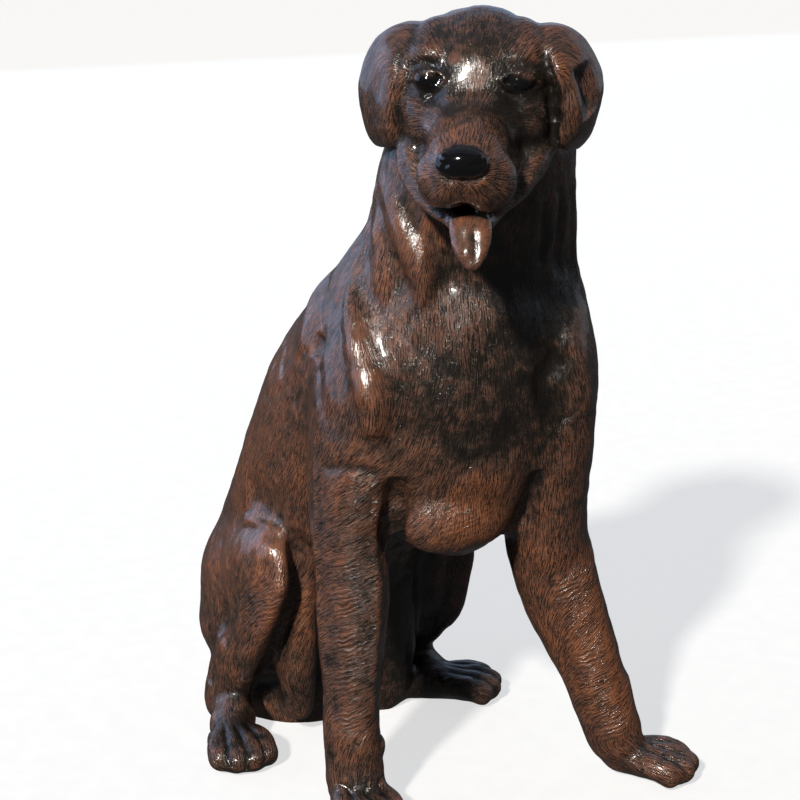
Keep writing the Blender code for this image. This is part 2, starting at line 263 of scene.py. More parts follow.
def limbs():
    """The legs with their paws, the folds of the skin, the skull with its muzzle, and the tail."""
    right_foreleg = [
        (-94, -130, 312, 28, 34), (-93, -132, 256, 35, 42), (-94, -134, 200, 34, 38),
        (-97, -136, 120, 28, 30), (-96, -138, 62, 29, 30), (-97, -144, 34, 30, 28),
    ]
    left_foreleg = [
        (104, -164, 306, 32, 36), (112, -168, 258, 42, 45), (129, -176, 195, 41, 42),
        (151, -190, 129, 34, 35), (165, -198, 84, 32, 32), (178, -204, 44, 30, 30),
    ]
    right_shank = [
        (-111, 8, 214, 22, 35), (-117, 50, 132, 22, 38), (-120, 94, 66, 22, 31), (-121, 108, 32, 23, 26),
    ]
    left_shank = [
        (102, 8, 214, 30, 36), (106, 50, 132, 31, 42), (106, 96, 66, 27, 32), (112, 108, 32, 25, 26),
    ]
    right_foot = [(-119, 112, 28, 24, 26), (-130, 62, 26, 22, 24)]
    left_foot = [(112, 112, 28, 24, 26), (110, 66, 26, 26, 24)]
    legs = (right_foreleg, left_foreleg, right_shank, left_shank, right_foot, left_foot)
    forms = [tube(rows) for rows in legs]
    right_knee = ball((-109, 12, 222), (23, 34, 34))
    left_knee = ball((102, 12, 222), (29, 34, 34))
    forms += [right_knee, left_knee]
    shoulder_ridge = [
        (-80, -117, 532, 9, 7), (-88, -140, 508, 16, 13), (-91, -161, 476, 20, 15), (-92, -180, 446, 21, 14),
        (-93, -188, 414, 16, 9),
    ]
    throat_fold = [
        (-50, -142, 640, 9, 9), (-56, -157, 616, 13, 13), (-53, -174, 588, 15, 15), (-47, -186, 562, 15, 15),
        (-45, -187, 538, 13, 12), (-49, -181, 512, 12, 10),
    ]
    neck_fold = [
        (-46, -128, 616, 12, 12), (-56, -140, 592, 16, 15), (-60, -147, 566, 16, 16),
        (-61, -152, 536, 16, 15), (-58, -160, 508, 14, 12),
    ]
    belly_fold = [(-78, 6, 290, 18, 20), (-76, 8, 200, 18, 20), (-72, 22, 110, 19, 20), (-66, 46, 38, 20, 24)]
    seat_fold = [(30, 18, 170, 36, 26), (37, 32, 110, 37, 28), (46, 52, 60, 36, 29), (52, 68, 22, 34, 30)]
    brisket = [(-9, -182, 314, 62, 40), (-4, -128, 312, 62, 40), (0, -70, 322, 66, 42), (0, -20, 348, 70, 46)]
    folds = (shoulder_ridge, throat_fold, neck_fold, belly_fold, seat_fold, brisket)
    forms += [tube(rows) for rows in folds]
    for heel, turned, back in PAWS:
        forms += paw(heel, turned, back)

    muzzle = [(-1, -45, -14, 50, 38), (-1, -85, -21, 39, 30), (0, -122, -24, 36, 31), (0, -140, -27, 33, 28)]
    bridge = [(0, -74, -1, 20, 12), (0, -96, -2, 23, 12), (0, -118, -5, 22, 12)]
    forms += [tube(rows, place=HEAD) for rows in (muzzle, bridge)]
    forms.append(ball((0, 8, 9), (62, 74, 62), place=HEAD))
    forms.append(ball((0, -34, 20), (40, 27, 28), place=HEAD))
    stop = [(-10, -18, 50, 19, 15), (-13, -37, 35, 18, 15), (-13, -56, 11, 18, 15), (-8, -72, -6, 18, 15)]
    forms.append(tube(stop, place=HEAD))
    for side in (-1, 1):
        forms.append(ball((side * 34, 0, 22), (37, 53, 42), place=HEAD))
        forms.append(ball((side * 41, -20, -14), (30, 48, 42), place=HEAD))

    tail = [
        (0, 205, 34, 36, 32), (30, 256, 24, 27, 24), (88, 286, 18, 22, 20), (150, 280, 15, 17, 16),
        (196, 246, 12, 12, 12),
    ]
    forms.append(tube(tail, side=(0, 0, 1)))
    return forms


def features():
    """Ears, muzzle pads, jaw, lips, nose and tongue."""
    forms = []
    # For each ear: its side, how far its flat turns outwards, and how far it stands off the head in mm.
    for side, splay, set_out in ((-1, 0.46, 0), (1, 0.26, 4)):
        ear = [
            (44, 14, 42, 14, 12), (60 + set_out, 8, 42, 30, 15), (77 + set_out, -2, 29, 42, 16),
            (88 + set_out, -6, 0, 45, 16), (88, -8, -24, 44, 16), (86, -10, -38, 43, 13),
            (84, -12, -45, 40, 9),
        ]
        ear = np.array(ear) * (side, 1, 1, 1, 1)
        forms.append(tube(ear, side=(side * splay, 1, 0), place=HEAD))
    flew = [(14, -144, -40, 18, 17), (26, -125, -44, 17, 22), (26, -98, -46, 13, 24), (32, -66, -46, 13, 22)]
    forms += [tube(rows, place=HEAD) for rows in both_sides(flew)]
    forms.append(ball((-16, -131, -36), (27, 26, 28), place=HEAD))
    forms.append(ball((18, -130, -38), (26, 26, 29), place=HEAD))
    cheek = [(54, -34, -42, 18, 20), (48, -60, -54, 15, 18), (37, -88, -66, 11, 12), (25, -110, -73, 7, 7)]
    forms += [tube(rows, place=HEAD) for rows in both_sides(cheek)]
    jaw = [
        (0, -18, -50, 58, 30), (0, -48, -60, 55, 23), (1, -80, -71, 42, 16), (2, -108, -79, 29, 12),
        (3, -126, -81, 22, 9),
    ]
    forms.append(tube(jaw, place=HEAD))
    forms.append(ball((-1, -160, -13), (23, 13, 14), place=HEAD))
    tongue = [
        (2, -84, -72, 17, 5), (3, -122, -74, 18, 6), (4, -138, -79, 19, 8), (6, -148, -89, 18, 8),
        (7, -157, -98, 14, 7), (8, -163, -105, 8, 5),
    ]
    forms.append(tube(tongue, place=HEAD))
    return forms


def fine_features():
    """Eyes with their lids, and the roll of skin on the right of the mouth."""
    forms = [ball((x, -46.5, 23), (13.5, 13.5, 10), place=HEAD) for x in EYES_ACROSS]
    upper_lid = [
        (60, -40, 17, 1.6, 1.6), (52, -48, 25.5, 2.2, 2.0), (42, -53, 31.5, 2.6, 2.0),
        (31, -57, 32.5, 2.2, 2.0), (24, -61, 28, 1.6, 1.6),
    ]
    lower_lid = [
        (60, -40, 17, 1.6, 1.6), (51, -50, 14, 1.6, 1.6), (41, -55, 14.5, 1.6, 1.6),
        (31, -59, 19, 1.6, 1.6), (24, -61, 27, 1.6, 1.6),
    ]
    for lid in (upper_lid, lower_lid):
        forms += [tube(rows, side=(0, 0, 1), place=HEAD) for rows in both_sides(lid)]
    jowl = [
        (-62, -44, -44, 8, 8), (-60, -60, -58, 8, 8), (-47, -82, -70, 8, 7), (-33, -101, -77, 7, 6),
        (-21, -118, -79, 5, 5),
    ]
    forms.append(tube(jowl, place=HEAD))
    return forms


STAGES = (
    # what is laid on, cell of the skin in mm, passes of smoothing
    (masses, 6.0, 39),
    (limbs, 3.5, 14),
    (features, 2.4, 5),
    (fine_features, 1.7, 3),
)


def write_mesh(name, vertices, faces):
    mesh = bpy.data.meshes.new(name)
    mesh.from_pydata(vertices.tolist(), [], faces)
    mesh.update()
    return mesh


def evaluated(mesh, add_modifiers):
    """The mesh as its modifiers leave it."""
    ob = bpy.data.objects.new("clay", mesh)
    bpy.context.collection.objects.link(ob)
    add_modifiers(ob)
    depsgraph = bpy.context.evaluated_depsgraph_get()
    result = bpy.data.meshes.new_from_object(ob.evaluated_get(depsgraph))
    bpy.data.objects.remove(ob)
    bpy.data.meshes.remove(mesh)
    return result


def vertices_of(mesh):
    """Vertices and vertex normals as arrays."""
    count = len(mesh.vertices)
    points = np.empty(count * 3)
    normals = np.empty(count * 3)
    mesh.vertices.foreach_get("co", points)
    mesh.vertex_normals.foreach_get("vector", normals)
    return points.reshape(-1, 3), normals.reshape(-1, 3)


def move_vertices(mesh, points):
    mesh.vertices.foreach_set("co", points.ravel())
    mesh.update()


def lay_on(mesh, forms, cell, passes):
    """One skin over the clay there is and the new forms, eased by the passes of smoothing."""
    vertices = []
    faces = []
    total = 0
    if mesh:
        points, _ = vertices_of(mesh)
        vertices.append(points)
        corners = np.empty(len(mesh.loops), int)
        mesh.loops.foreach_get("vertex_index", corners)
        faces += corners.reshape(-1, 4).tolist()
        total = len(points)
        bpy.data.meshes.remove(mesh)
    for points, form_faces in forms:
        vertices.append(points)
        faces += [[corner + total for corner in face] for face in form_faces]
        total += len(points)

    def one_skin(ob):
        skin = ob.modifiers.new("Skin", "REMESH")
        skin.mode = "VOXEL"
        skin.voxel_size = cell
        skin.adaptivity = 0
        ease = ob.modifiers.new("Ease", "SMOOTH")
        ease.factor = 0.5
        ease.iterations = passes

    return evaluated(write_mesh("clay", np.vstack(vertices), faces), one_skin)


# Carving in the finished skin. A depth above 0 presses in, and one below 0 raises a ridge.

FACE_STROKES = [
    # path in the head's frame, reach in mm, depth in mm
    # Sockets, and the folds above and below the eyes.
    ([(-62, -36, 28), (-52, -46, 37), (-40, -51, 40), (-27, -56, 37)], 4, 2.6),
    ([(60, -36, 28), (50, -46, 37), (38, -51, 40), (25, -56, 37)], 4, 2.6),
    ([(-58, -42, 9), (-46, -54, 5), (-30, -64, 10)], 4, 2),
    ([(56, -42, 9), (44, -54, 5), (28, -64, 10)], 4, 2),
    ([(-62, -36, 46), (-46, -44, 50), (-28, -48, 48)], 8, -2.5),
    ([(60, -36, 46), (44, -44, 50), (26, -48, 48)], 8, -1),
    # Hollows beside the bridge.
    ([(-24, -72, 14), (-32, -84, -10), (-38, -96, -22)], 8, 2),
    ([(22, -72, 14), (30, -84, -10), (36, -96, -22)], 8, 2),
    # Seam under the nose, nostrils and the nose's rim.
    ([(0, -172, -24), (0, -168, -40), (1, -160, -56)], 2.5, 2),
    ([(-10, -176, -10), (-17, -168, -12), (-20, -160, -8)], 2.6, 2.6),
    ([(8, -176, -10), (15, -168, -12), (18, -160, -8)], 2.6, 2.6),
    ([(-24, -152, -10), (-18, -160, -24), (0, -166, -27), (16, -160, -24), (22, -152, -10)], 3, 2.4),
    ([(-24, -152, -8), (-18, -152, 2), (0, -154, 5), (16, -152, 2), (22, -152, -8)], 3, 1.6),
    # Grooves between the muzzle and the rolls of skin beside it.
    ([(-52, -66, -26), (-50, -80, -44), (-43, -98, -60), (-31, -118, -70)], 5, 4),
    ([(52, -70, -22), (51, -84, -42), (46, -100, -58), (37, -118, -68)], 5, 2.5),
    # Ear and face part here.
    ([(-66, -30, 52), (-69, -40, 30), (-70, -44, 0), (-68, -40, -34)], 4, 2),
    ([(60, -28, 54), (64, -38, 34), (68, -42, 8), (72, -42, -40)], 5, 5),
    # The hollow rim of the left ear, and softer dents in the right one.
    ([(102, -22, 36), (106, -26, 12), (104, -24, -16)], 13, 11),
    ([(-92, -34, 30), (-98, -36, 0), (-94, -34, -30)], 12, 2.5),
    ([(80, -44, 34), (83, -50, 4), (80, -46, -34)], 7, 2),
    # Groove down the tongue.
    ([(7, -140, -70), (9, -156, -83), (10, -165, -94), (10, -170, -103)], 4, 2),
]

BODY_STROKES = [
    # path in the dog's drawing, reach in mm, depth in mm
    # Shoulder ridge, neck line and shoulder blade on the right.
    ([(-56, -96, 620), (-66, -108, 590), (-75, -118, 565), (-80, -126, 545)], 7, 3),
    ([(-84, -50, 540), (-104, -80, 490), (-119, -118, 445), (-126, -150, 398)], 9, 1.5),
    ([(-98, -84, 484), (-104, -86, 460)], 9, 6),
    ([(-80, 0, 560), (-98, -34, 505), (-112, -62, 460)], 14, -4),
    # Left shoulder and the hollow beside it.
    ([(80, -230, 480), (60, -234, 451), (70, -236, 420), (84, -232, 400)], 15, 7),
    ([(92, -232, 500), (100, -232, 460), (106, -226, 410)], 14, -5),
    ([(134, -180, 500), (142, -190, 450), (140, -196, 400)], 12, 4),
    # Armpits and the lower edge of the breast.
    ([(-74, -186, 366), (-70, -180, 344), (-62, -172, 318), (-56, -165, 290), (-51, -158, 268)], 12, 14),
    ([(62, -226, 360), (60, -212, 325), (58, -196, 290)], 11, 8),
    ([(-100, -196, 424), (-60, -226, 412), (-20, -232, 404), (50, -236, 408)], 20, 3),
    ([(-22, -230, 372), (0, -228, 356), (30, -224, 352)], 18, -3),
    # Throat folds.
    ([(65, -231, 641), (86, -219, 619), (90, -214, 580), (92, -212, 540)], 7, 4),
    ([(58, -224, 625), (66, -222, 590), (64, -218, 556)], 6, 4),
    ([(104, -204, 640), (112, -196, 600), (114, -192, 560), (118, -190, 520)], 7, -3),
    ([(-40, -190, 640), (-48, -196, 600), (-52, -196, 560), (-44, -206, 520)], 8, -3),
    ([(-26, -214, 620), (-34, -214, 580), (-34, -216, 540)], 7, 3),
    ([(10, -232, 600), (14, -234, 560), (20, -236, 520)], 12, 2.5),
    # Thighs, knees and shins.
    ([(-90, -10, 262), (-94, -14, 214), (-98, 2, 156), (-104, 30, 108), (-108, 52, 72)], 11, 12),
    ([(92, -14, 262), (92, -22, 210), (94, -8, 150), (100, 20, 100), (104, 44, 66)], 10, 9),
    ([(-130, 66, 256), (-120, 36, 258), (-106, 2, 256), (-96, -14, 244)], 7, -4),
    ([(130, 66, 256), (120, 36, 258), (106, 2, 256), (96, -14, 244)], 7, -4),
    ([(-128, 60, 286), (-114, 24, 284), (-100, -6, 276)], 17, 6),
    ([(128, 60, 286), (114, 24, 284), (100, -6, 276)], 17, 8),
    ([(-108, -22, 238), (-114, -18, 204), (-119, -2, 166), (-126, 20, 126), (-130, 44, 100)], 9, -6),
    ([(98, -18, 240), (110, -16, 190), (116, 12, 130), (122, 50, 86)], 7, -6),
    ([(-136, 60, 200), (-134, 50, 150), (-138, 70, 110)], 10, 3),
    ([(136, 60, 200), (134, 50, 150), (138, 70, 110)], 10, 3),
    ([(-140, 120, 232), (-146, 90, 170), (-146, 78, 110)], 18, 5),
    ([(140, 120, 232), (146, 90, 170), (146, 78, 110)], 18, 5),
    ([(-138, 96, 84), (-142, 104, 52)], 9, 4),
    ([(-134, 102, 182), (-131, 106, 160), (-134, 110, 138)], 5, 1.8),
    ([(-138, 84, 172), (-136, 88, 142), (-138, 92, 112)], 6, 2.2),
    ([(138, 96, 84), (142, 104, 52)], 9, 4),
    # Elbows, and the ridges and tendons of the forelegs.
    ([(-128, -134, 366), (-114, -169, 374), (-98, -179, 370), (-84, -182, 368)], 6, 3),
    ([(-84, -180, 356), (-86, -176, 300), (-87, -172, 240), (-88, -168, 170), (-88, -164, 110)], 6, -3),
    ([(-122, -124, 410), (-127, -124, 370), (-129, -128, 314), (-127, -128, 260), (-126, -130, 200),
      (-124, -136, 130)], 5, -2.5),
    ([(-128, -150, 250), (-126, -150, 160), (-124, -146, 90)], 9, 2.5),
    ([(128, -214, 280), (146, -224, 200), (166, -232, 120)], 12, -2.5),
    ([(152, -196, 260), (172, -206, 170), (186, -212, 110)], 8, 2.5),
    ([(-70, -150, 78), (-68, -146, 62)], 9, -4),
    ([(186, -176, 90), (192, -180, 70)], 9, -3),
    # Spine and flanks.
    ([(40, -10, 560), (20, 60, 480), (4, 140, 380), (0, 200, 270), (0, 236, 150)], 14, -2.5),
    ([(-70, 80, 420), (-84, 110, 340), (-80, 150, 260)], 26, 3),
    ([(70, 80, 420), (84, 110, 340), (80, 150, 260)], 26, 3),
    ([(-40, 214, 120), (-30, 226, 60)], 12, 4),
    ([(44, 214, 120), (36, 226, 60)], 12, 4),
]


def toe_strokes():
    """Grooves between the toes of every paw, and the knuckle dips across them."""
    strokes = []
    for heel, turned, _ in PAWS:
        place = ((*heel, 0), (0, 0, turned))
        for across in (-0.24, 0, 0.24):
            x = PAW_WIDTH * across
            groove = [(x * 0.7, -30, 40), (x * 0.9, -58, 34), (x * 1.06, -80, 26), (x * 1.1, -94, 8)]
            strokes.append((placed(groove, place), 2.6, 2.4))
        for across, reach in TOES:
            x = PAW_WIDTH * across
            y = -PAW_LENGTH * reach + 20
            strokes.append((placed([(x - 9, y, 32), (x + 9, y, 32)], place), 5, 1.2))
    return strokes


def along_path(points, path):
    """How far each point is from a path of straight pieces, and what share of the path lies before the
    nearest place on it."""
    nearest = np.full(len(points), np.inf)
    travel = np.zeros(len(points))
    lengths = np.linalg.norm(np.diff(path, axis=0), axis=1)
    starts = np.cumsum(lengths) - lengths
    for a, b, start, length in zip(path, path[1:], starts, np.maximum(lengths, 1e-6)):
        share = np.clip((points - a) @ (b - a) / length**2, 0, 1)
        distance = np.linalg.norm(points - a - share[:, None] * (b - a), axis=1)
        closer = distance < nearest
        nearest[closer] = distance[closer]
        travel[closer] = start + share[closer] * length
    return nearest, travel / lengths.sum()


def carve(points, normals, strokes, place=DOG):
    """Moves the skin in along its normals by depth * exp(-(distance / reach)^2), less near a path's ends.

    The distance is from the path's curve laid on the skin, each of its places moved to the nearest vertex.
    """
    sink = np.zeros(len(points))
    for path, reach, depth in strokes:
        path = placed(spline(path)[::2], place)
        margin = 3 * reach + 16
        low = path.min(axis=0) - margin
        high = path.max(axis=0) + margin
        near = np.flatnonzero(((points > low) & (points < high)).all(axis=1))
        skin = points[near]
        path = skin[[((skin - knot) ** 2).sum(axis=1).argmin() for knot in path]]
        distance, travel = along_path(skin, path)
        fade = 1 - (2 * travel - 1) ** 4
        sink[near] += depth * fade * np.exp(-(distance / reach) ** 2)
    return points - normals * sink[:, None]


def random_field(points, cell, seed):
    """Values from -1 to 1 that change smoothly over a cell: its random corners, blended by eased shares.

    The eased share of the way t through a cell is t^2 (3 - 2 t), along each axis.
    """
    table = np.random.default_rng(seed).uniform(-1, 1, (LATTICE, LATTICE, LATTICE))
    lattice = np.floor(points / cell).astype(int)
    share = points / cell - lattice
    share = share * share * (3 - 2 * share)
    total = np.zeros(len(points))
    for corner in np.ndindex(2, 2, 2):
        x, y, z = ((lattice + corner) % LATTICE).T
        weight = np.prod(np.where(corner, share, 1 - share), axis=1)
        total += weight * table[x, y, z]
    return total


# The way the coat lies, as directions at places on the skin.

HEAD_FLOW = [
    # x, y, z in the head's frame, then the direction
    (0, -150, 4, 0, 1, 0.2), (0, -96, 12, 0, 1, 0.3), (0, -62, 44, 0, 0.5, 1), (0, 0, 70, 0, 1, 0),
    (-40, -120, -30, -0.2, 1, -0.3), (40, -120, -30, 0.2, 1, -0.3), (-35, -60, 45, -0.6, 0.3, 1),
    (35, -60, 45, 0.6, 0.3, 1), (-50, -60, 0, -0.5, 1, -0.3), (50, -60, 0, 0.5, 1, -0.3),
    (-60, -20, 45, -0.5, 1, 0.2), (60, -20, 45, 0.5, 1, 0.2), (-62, -40, -34, -0.3, 0.8, -0.8),
    (62, -40, -34, 0.3, 0.8, -0.8), (-80, -10, 48, -0.9, 0.1, -0.6), (80, -10, 48, 0.9, 0.1, -0.6),
    (-104, -10, 0, 0, 0.1, -1), (104, -10, 0, 0, 0.1, -1), (-84, -40, 0, 0, 0.1, -1),
    (84, -40, 0, 0, 0.1, -1), (-90, 30, 0, 0, 0.2, -1), (90, 30, 0, 0, 0.2, -1), (0, 78, 20, 0, 0.4, -1),
    (0, -70, -88, 0, 0.8, -0.6), (0, -130, -60, 0, 1, -0.3), (-30, -150, -50, -0.2, 1, -0.6),
    (30, -150, -50, 0.2, 1, -0.6),
]
BODY_FLOW = [
    # x, y, z in the dog's drawing, then the direction
    (40, -230, 600, 0, 0, -1), (125, -140, 620, 0, 0.1, -1), (-55, -150, 620, -0.2, 0.2, -1),
    (60, -50, 640, 0, 0.3, -1), (0, -235, 470, 0.05, 0, -1), (-60, -215, 430, -0.3, 0.1, -1),
    (60, -235, 430, 0.3, 0, -1), (0, -215, 330, 0, 0.2, -1), (0, -170, 285, 0, 1, -0.4),
    (-120, -130, 440, -0.1, 0.3, -1), (150, -110, 440, 0.1, 0.3, -1), (-90, -185, 470, 0.2, 0, -1),
    (20, 10, 540, 0, 0.8, -1), (0, 130, 370, 0, 0.6, -1), (0, 232, 180, 0, 0.4, -1),
    (-115, 30, 380, -0.1, 0.5, -0.9), (115, 30, 380, 0.1, 0.5, -0.9), (-110, 140, 300, -0.1, 0.4, -0.9),
    (110, 140, 300, 0.1, 0.4, -0.9), (-138, 110, 200, 0, -0.3, -1), (138, 110, 200, 0, -0.3, -1),
    (-130, 190, 120, 0, -0.2, -1), (130, 190, 120, 0, -0.2, -1), (-112, -12, 230, -0.2, -0.1, -1),
    (112, -12, 230, 0.2, -0.1, -1), (-124, 50, 110, 0, 0.5, -1), (124, 50, 110, 0, 0.5, -1),
    (-128, 0, 30, -0.2, -1, -0.3), (150, 30, 30, 0.8, -0.5, -0.3), (-50, -40, 300, 0, 0.6, -1),
    (50, -40, 300, 0, 0.6, -1), (0, 0, 180, 0, 0.2, -1), (0, 60, 80, 0, 0, -1),
    (-100, -176, 340, -0.75, 0.4, -0.5), (-104, -178, 280, -0.9, 0.4, -0.3),
    (-104, -178, 220, -0.9, 0.4, -0.3), (-104, -176, 160, -0.9, 0.4, -0.3),
    (-104, -174, 110, -0.8, 0.3, -0.4), (-102, -176, 70, -0.3, -0.1, -0.9),
    (-134, -140, 300, -0.4, 0.7, -0.5), (-128, -136, 180, -0.4, 0.7, -0.5),
    (-118, -8, 190, -0.7, 0.5, -0.4), (-62, -130, 240, 0, 0, -1), (-64, -136, 120, 0, 0, -1),
    (-96, -96, 200, 0, 0, -1), (-105, -200, 24, -0.1, -1, -0.3), (110, -206, 300, 0, 0, -1),
    (140, -218, 200, -0.7, 0.3, -0.6), (160, -226, 130, -0.8, 0.45, -0.4), (178, -180, 160, 0.4, 0, -0.9),
    (110, -160, 180, 0.4, 0, -0.9), (225, -250, 20, 0.64, -0.77, -0.2), (0, 236, 40, 0.2, 1, -0.2),
    (30, 266, 30, 0.8, 0.6, 0), (88, 300, 20, 1, 0, 0), (150, 290, 20, 0.9, -0.4, 0),
    (190, 255, 14, 0.8, -0.6, 0),
]


def coat_flow(points, normals):
    """The coat's direction along the skin, in unit length.

    It is the sum of the given directions, each times 1 / (distance^2 + FLOW_CORE^2)^2, less its part along
    the normal.
    """
    head = np.array(HEAD_FLOW, float)
    body = np.array(BODY_FLOW, float)
    places = np.vstack([placed(head[:, :3], HEAD), body[:, :3]])
    ways = unit(np.vstack([placed(head[:, 3:], ((0, 0, 0), HEAD[1])), body[:, 3:]]))
    flow = np.zeros_like(points)
    for place, way in zip(places, ways):
        weight = 1 / (((points - place) ** 2).sum(axis=1) + FLOW_CORE**2) ** 2
        flow += weight[:, None] * way
    flow -= (flow * normals).sum(axis=1)[:, None] * normals
    return unit(flow)


def tufts(points, flow):
    """Height in mm of the modelled coat: random values averaged along the flow, over broad low lumps."""
    steps = np.linspace(-9, 9, 7)
    streaks = sum(random_field(points + flow * step, 6.5, 1) for step in steps) / len(steps)
    return 0.8 * streaks + 0.8 * random_field(points, 26, 2) + 0.55 * random_field(points, 12, 3)


def edges_of(mesh):
    """The two vertices of every edge."""
    edges = np.empty(len(mesh.edges) * 2, int)
    mesh.edges.foreach_get("vertices", edges)
    return edges.reshape(-1, 2)


def eased(values, edges, passes):
    """Values drawn half way to the mean of their neighbours, as many times as there are passes."""
    first, second = edges.T
    count = np.bincount(edges.ravel(), minlength=len(values))[:, None]
    for _ in range(passes):
        total = np.zeros_like(values)
        for column in range(values.shape[1]):
            total[:, column] = np.bincount(first, values[second, column], len(values))
            total[:, column] += np.bincount(second, values[first, column], len(values))
        values = 0.5 * values + 0.5 * total / count
    return values


def model_dog():
    """The dog's skin: laid on in stages, carved, tufted, flat on the ground, and thinned."""
    mesh = None
    for forms, cell, passes in STAGES:
        mesh = lay_on(mesh, forms(), cell, passes)
    points, normals = vertices_of(mesh)
    points = carve(points, normals, FACE_STROKES, HEAD)
    points = carve(points, normals, BODY_STROKES)
    points = carve(points, normals, toe_strokes())
    move_vertices(mesh, points)
    points, normals = vertices_of(mesh)
    height = tufts(points, coat_flow(points, normals))
    from_muzzle = np.linalg.norm(points - placed([MUZZLE_MIDDLE], HEAD), axis=1)
    height *= 1 - MUZZLE_LOWERED * np.exp(-(from_muzzle / MUZZLE_REACH) ** 4)
    points += normals * height[:, None]
    points[:, 2] = np.maximum(points[:, 2], 0)
    move_vertices(mesh, points)

    def thinned(ob):
        thin = ob.modifiers.new("Thin out", "DECIMATE")
        thin.ratio = TRIANGLES / (2 * len(mesh.polygons))
        thin.use_collapse_triangulate = True

    return evaluated(mesh, thinned)


# Finish.

# Places where the patina was left bare, above 0, or darkened, below 0. Some darkened places are painted shade
# where the dog's own shadow falls, as on the left ear, low between the legs and on the hind paws.
HEAD_BARE_AND_SHADE_PATCHES = [
    # x, y, z in the head's frame, radius in mm, amount
    (0, -142, -2, 28, 0.5), (30, -110, -10, 24, 0.3), (-34, -54, 52, 15, 0.5), (4, -58, 62, 16, -0.7),
    (0, -30, 66, 40, -0.6), (-50, -20, 56, 30, -0.4), (50, -30, 50, 30, -0.2), (-40, -70, -10, 26, 0.1),
    (46, -60, -10, 26, -0.5), (-20, -140, -44, 24, -0.2), (30, -136, -44, 24, -0.4),
    (-96, -20, 20, 26, -0.2), (2, -66, 48, 8, -0.5), (-26, -80, 6, 9, -0.7), (-14, -92, 8, 9, -0.9),
    (8, -96, 8, 9, -0.8), (-3, -109, 6, 7, -0.9), (4, -66, 24, 20, 0.5), (30, -62, 50, 18, 0.4),
    (0, -150, -50, 20, 0.2), (5, -150, -98, 26, -0.3), (-84, -36, 4, 16, 0.3), (80, -36, 20, 14, 0.4),
    # On this line and the next two, the darkened places at x 60 to 104 are painted shade on the left ear's
    # dent and front.
    (-40, -57, 21, 20, -1.2), (36, -58, 21, 20, -1.2), (-50, -40, -26, 16, -0.3), (64, -40, 0, 14, -0.6),
    (104, -26, 12, 14, -0.3), (56, -46, -30, 22, -0.3), (64, -38, -6, 15, -0.8), (65, -42, -28, 14, -0.8),
    (60, -36, 26, 10, -0.6), (0, -60, 10, 130, -0.3), (36, -86, -8, 20, -0.4), (-42, -96, -40, 16, -0.5),
]
BODY_BARE_AND_SHADE_PATCHES = [
    # x, y, z in the dog's drawing, radius in mm, amount
    (0, -226, 310, 50, 0.8), (-36, -230, 440, 56, -1), (20, -236, 460, 54, -1), (-10, -230, 390, 40, -0.6),
    (-84, -190, 430, 28, 0.5), (70, -220, 440, 60, -0.7), (60, -220, 520, 50, -0.5),
    (-10, -240, 340, 30, 0.4), (40, -230, 560, 60, -0.8), (-112, -196, 330, 30, -0.5),
    (-104, -196, 180, 30, -0.4), (-40, -220, 500, 40, 0.35), (0, -226, 350, 34, 0.35),
    (-104, -180, 250, 26, -0.7), (-96, -180, 180, 22, -0.4), (-112, -108, 486, 12, -0.8),
    (-112, -6, 210, 26, 0.5), (-66, -158, 330, 12, 0.4), (-40, -206, 590, 30, 0.3),
    (150, -220, 160, 70, 0.9), (130, -214, 260, 40, 0.2), (60, -216, 330, 30, -0.3),
    # On this line and the next three, the darkened places low between the legs and at the hind paws are
    # painted shade.
    (180, -214, 90, 50, 0.6), (60, -40, 250, 70, -0.6), (-40, -60, 250, 50, -0.6), (-60, 60, 60, 60, -0.5),
    (60, 60, 60, 60, -0.7), (-118, 60, 380, 110, 0.5), (-140, 110, 200, 70, 0.3), (-141, 6, 22, 62, -1.1),
    (140, 10, 30, 60, -1), (-104, -190, 30, 40, -0.6), (210, -240, 20, 40, -0.6), (-112, -10, 150, 30, 0.4),
    (110, 30, 60, 60, -0.9), (44, -4, 150, 50, -0.9), (50, 0, 90, 50, -0.9), (60, 20, 50, 50, -0.9),
    (-84, -18, 160, 40, 0.5), (20, -226, 300, 40, 0.5),
]


# Where the strokes are faint and the metal polished: x, y, z, radius in mm, amount.
HEAD_SMOOTH = [
    (-9, -50, 36, 32, 0.7), (0, -110, 4, 26, 0.3), (0, -130, -50, 30, 0.2), (4, -146, -90, 30, 0.9),
    (-74, -16, 46, 18, 0.6),
]
BODY_SMOOTH = [
    (-56, -178, 596, 36, 0.6), (-120, 50, 420, 120, 0.5), (-140, 110, 200, 80, 0.4),
    (-110, -10, 240, 40, 0.5), (150, 60, 380, 120, 0.4), (-98, -160, 500, 20, 0.7),
    (-102, -184, 464, 20, 0.7),
]
# Where rows of low ripples cross the coat, in the same way.
BODY_RIPPLES = [
    (-117, -162, 275, 17, 0.7), (-118, -162, 235, 17, 0.9), (-118, -161, 195, 17, 1.0),
    (-117, -159, 155, 17, 0.9), (-115, -159, 110, 16, 0.7), (108, -213, 222, 15, 0.9),
    (130, -219, 143, 15, 0.9), (157, -228, 64, 15, 0.8), (-22, -220, 318, 36, 0.4),
    (-116, -14, 180, 26, 0.8),
]


def patches_at(points, patches, place=DOG):
    """The sum of amount * exp(-(distance / radius)^2) over patches of x, y, z, radius and amount."""
    total = np.zeros(len(points))
    patches = np.array(patches, float)
    for centre, radius, amount in zip(placed(patches[:, :3], place), patches[:, 3], patches[:, 4]):
        total += amount * np.exp(-((points - centre) ** 2).sum(axis=1) / radius**2)
    return total


def in_head(points):
    """Points of the dog's drawing in the head's frame."""
    return (points - np.array(HEAD[0])) @ turn_matrix(HEAD[1])


def within(points, centre, radii, edge):
    """1 inside the ellipsoid and 0 outside, changing over the edge's share of its size."""
    distance = np.linalg.norm((points - np.array(centre)) / np.array(radii), axis=1)
    return np.clip((1 - distance) / edge + 0.5, 0, 1)


